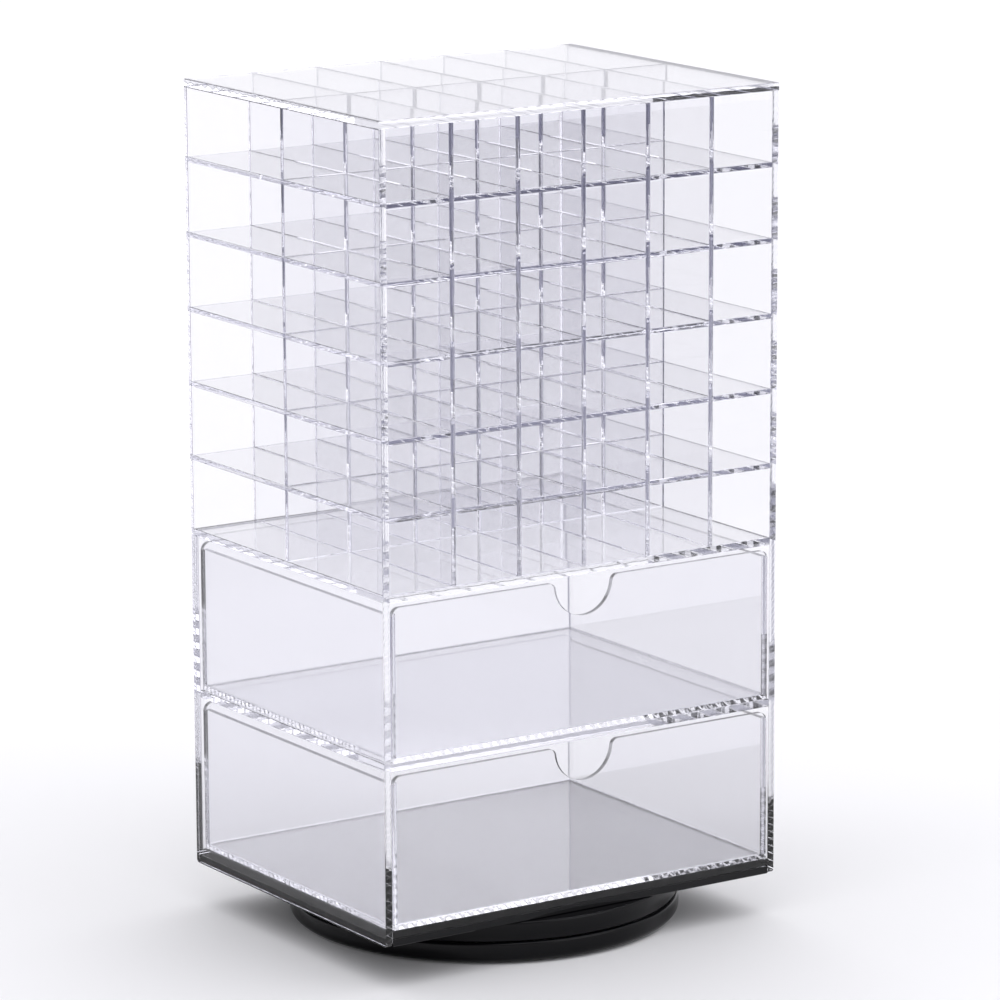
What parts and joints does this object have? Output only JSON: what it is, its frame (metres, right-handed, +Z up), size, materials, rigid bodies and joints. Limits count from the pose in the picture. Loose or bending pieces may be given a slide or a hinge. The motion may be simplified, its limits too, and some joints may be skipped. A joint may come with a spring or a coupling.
{
  "type": "rotating makeup organizer",
  "caption": "Clear acrylic makeup tower on a ball turntable: square lipstick slots in a grid on its front and back, over stacked drawers with finger notches.",
  "frame": {"origin": "on the table, under the turntable's axis, at the middle of the footprint", "axes": "+Z up along the turning axis, X across the tower's width, and the drawers open towards -Y"},
  "size_m": [0.16, 0.1364, 0.2925],
  "materials": {
    "clear_sheet": "clear polished sheet, cut edges",
    "black_sheet": "gloss black sheet",
    "black_moulding": "satin black moulding",
    "adhesive_tape": "matt foam tape",
    "bearing_steel": "polished",
    "cage_plastic": "matt",
    "pin_steel": "zinc plated",
    "foot_rubber": "matt"
  },
  "bodies": {
    "turntable_base": {"turntable_lower_disc": "black_moulding", "pivot_pin": "pin_steel", "pivot_washer": "pin_steel", "push_nut": "pin_steel", "rubber_feet": "foot_rubber"},
    "ball_ring": {"bearing_balls": "bearing_steel", "ball_cage": "cage_plastic"},
    "tower": {"top_plate": "clear_sheet", "side_panel_left": "clear_sheet", "side_panel_right": "clear_sheet", "mid_partition": "clear_sheet", "front_divider_1": "clear_sheet", "front_divider_2": "clear_sheet", "front_divider_3": "clear_sheet", "front_divider_4": "clear_sheet", "front_divider_5": "clear_sheet", "front_shelf_1": "clear_sheet", "front_shelf_2": "clear_sheet", "front_shelf_3": "clear_sheet", "front_shelf_4": "clear_sheet", "front_shelf_5": "clear_sheet", "back_divider_1": "clear_sheet", "back_divider_2": "clear_sheet", "back_divider_3": "clear_sheet", "back_divider_4": "clear_sheet", "back_divider_5": "clear_sheet", "back_shelf_1": "clear_sheet", "back_shelf_2": "clear_sheet", "back_shelf_3": "clear_sheet", "back_shelf_4": "clear_sheet", "back_shelf_5": "clear_sheet", "bay_roof": "clear_sheet", "bay_shelf": "clear_sheet", "bay_floor": "clear_sheet", "bay_back": "clear_sheet", "base_plate": "black_sheet", "turntable_upper_disc": "black_moulding", "adhesive_ring": "adhesive_tape"},
    "upper_drawer": {"upper_drawer_front": "clear_sheet", "upper_drawer_back": "clear_sheet", "upper_drawer_left": "clear_sheet", "upper_drawer_right": "clear_sheet", "upper_drawer_bottom": "clear_sheet"},
    "lower_drawer": {"lower_drawer_front": "clear_sheet", "lower_drawer_back": "clear_sheet", "lower_drawer_left": "clear_sheet", "lower_drawer_right": "clear_sheet", "lower_drawer_bottom": "clear_sheet"}
  },
  "joints": [
    {"name": "tower_turn", "type": "hinge", "parent": "turntable_base", "child": "tower", "pos_m": [0, 0, 0.0079], "axis": [0, 0, 1], "continuous": true},
    {"name": "ball_ring_roll", "type": "hinge", "parent": "turntable_base", "child": "ball_ring", "pos_m": [0, 0, 0.0079], "axis": [0, 0, 1], "continuous": true},
    {"name": "upper_drawer_slide", "type": "slide", "parent": "tower", "child": "upper_drawer", "axis": [0, -1, 0], "range_m": [0, 0.1]},
    {"name": "lower_drawer_slide", "type": "slide", "parent": "tower", "child": "lower_drawer", "axis": [0, -1, 0], "range_m": [0, 0.1]}
  ],
  "couplings": [
    {"joint": "ball_ring_roll", "follows": "tower_turn", "ratio": 0.5}
  ]
}
